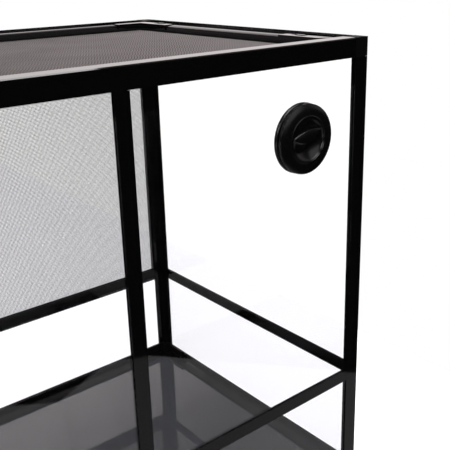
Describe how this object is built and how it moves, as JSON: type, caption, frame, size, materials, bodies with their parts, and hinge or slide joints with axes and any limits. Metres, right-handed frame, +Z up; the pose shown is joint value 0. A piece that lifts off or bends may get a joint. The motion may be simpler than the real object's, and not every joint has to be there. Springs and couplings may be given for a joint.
{
  "type": "terrarium",
  "caption": "Framed glass terrarium with a lift-off screened lid held by sliding locks, two screened doors and a rotary port in the back.",
  "frame": {"origin": "centre of the footprint, on the ground under the feet", "axes": "+Z up, the doors face -Y, the port is in the pane that faces +Y"},
  "size_m": [0.65, 0.4756, 0.6],
  "materials": {
    "frame_black": "glossy black coating",
    "connector_black": "satin black",
    "lid_black": "semi-gloss black coating",
    "door_black": "glossy black coating",
    "screen_grey": "woven wire",
    "spline_black": "matt",
    "glass": "clear",
    "floor_slate": "glossy dark blue-grey",
    "port_black": "moulded black"
  },
  "bodies": {
    "frame": {"corner_post_front_left": "frame_black", "corner_post_front_right": "frame_black", "corner_post_rear_left": "frame_black", "corner_post_rear_right": "frame_black", "top_rail_front": "frame_black", "top_rail_rear": "frame_black", "top_rail_left": "frame_black", "top_rail_right": "frame_black", "base_rail_front": "frame_black", "base_rail_rear": "frame_black", "base_rail_left": "frame_black", "base_rail_right": "frame_black", "top_connector_front_left": "connector_black", "top_connector_front_right": "connector_black", "top_connector_rear_left": "connector_black", "top_connector_rear_right": "connector_black", "base_connector_front_left": "connector_black", "base_connector_front_right": "connector_black", "base_connector_rear_left": "connector_black", "base_connector_rear_right": "connector_black", "mid_post_rear": "frame_black", "mid_rail_rear_left": "frame_black", "mid_rail_rear_right": "frame_black", "mid_rail_front": "frame_black", "mid_rail_left": "frame_black", "mid_rail_right": "frame_black", "glass_rear_upper_left": "glass", "glass_rear_upper_right": "glass", "glass_rear_lower_left": "glass", "glass_rear_lower_right": "glass", "glass_left_upper": "glass", "glass_left_lower": "glass", "glass_right_upper": "glass", "glass_right_lower": "glass", "glass_front_lower": "glass", "floor_panel": "floor_slate", "hinge_bracket_lower_left": "connector_black", "hinge_bracket_lower_right": "connector_black", "hinge_bracket_upper_left": "connector_black", "hinge_bracket_upper_right": "connector_black", "port_housing": "port_black", "port_nut": "port_black"},
    "door_left": {"door_frame_left": "door_black", "door_screen_left": "screen_grey"},
    "door_right": {"door_frame_right": "door_black", "door_screen_right": "screen_grey"},
    "latch": {"door_latch": "connector_black"},
    "lid": {"lid_frame": "lid_black", "lid_screen": "screen_grey", "lid_spline": "spline_black", "lid_corner_front_left": "lid_black", "lid_corner_front_right": "lid_black", "lid_corner_rear_left": "lid_black", "lid_corner_rear_right": "lid_black"},
    "knob": {"port_knob": "port_black"},
    "lock_front_left": {"lid_lock_front_left": "lid_black"},
    "lock_front_right": {"lid_lock_front_right": "lid_black"},
    "lock_rear_left": {"lid_lock_rear_left": "lid_black"},
    "lock_rear_right": {"lid_lock_rear_right": "lid_black"}
  },
  "joints": [
    {"name": "door_left_swing", "type": "hinge", "parent": "frame", "child": "door_left", "pos_m": [-0.32, -0.2295, 0.374], "axis": [0, 0, -1], "range_deg": [0, 120]},
    {"name": "door_right_swing", "type": "hinge", "parent": "frame", "child": "door_right", "pos_m": [0.32, -0.2295, 0.374], "axis": [0, 0, 1], "range_deg": [0, 120]},
    {"name": "latch_turn", "type": "hinge", "parent": "door_left", "child": "latch", "pos_m": [-0.00975, -0.2335, 0.374], "axis": [0, 1, 0], "range_deg": [0, 90]},
    {"name": "lid_lift", "type": "slide", "parent": "frame", "child": "lid", "axis": [0, 0, 1], "range_m": [0, 0.15]},
    {"name": "port_knob_turn", "type": "hinge", "parent": "frame", "child": "knob", "pos_m": [-0.219, 0.2283, 0.4995], "axis": [0, 1, 0], "range_deg": [0, 90]},
    {"name": "lock_front_left_slide", "type": "slide", "parent": "lid", "child": "lock_front_left", "axis": [-1, 0, 0], "range_m": [0, 0.006]},
    {"name": "lock_front_right_slide", "type": "slide", "parent": "lid", "child": "lock_front_right", "axis": [1, 0, 0], "range_m": [0, 0.006]},
    {"name": "lock_rear_left_slide", "type": "slide", "parent": "lid", "child": "lock_rear_left", "axis": [-1, 0, 0], "range_m": [0, 0.006]},
    {"name": "lock_rear_right_slide", "type": "slide", "parent": "lid", "child": "lock_rear_right", "axis": [1, 0, 0], "range_m": [0, 0.006]}
  ]
}
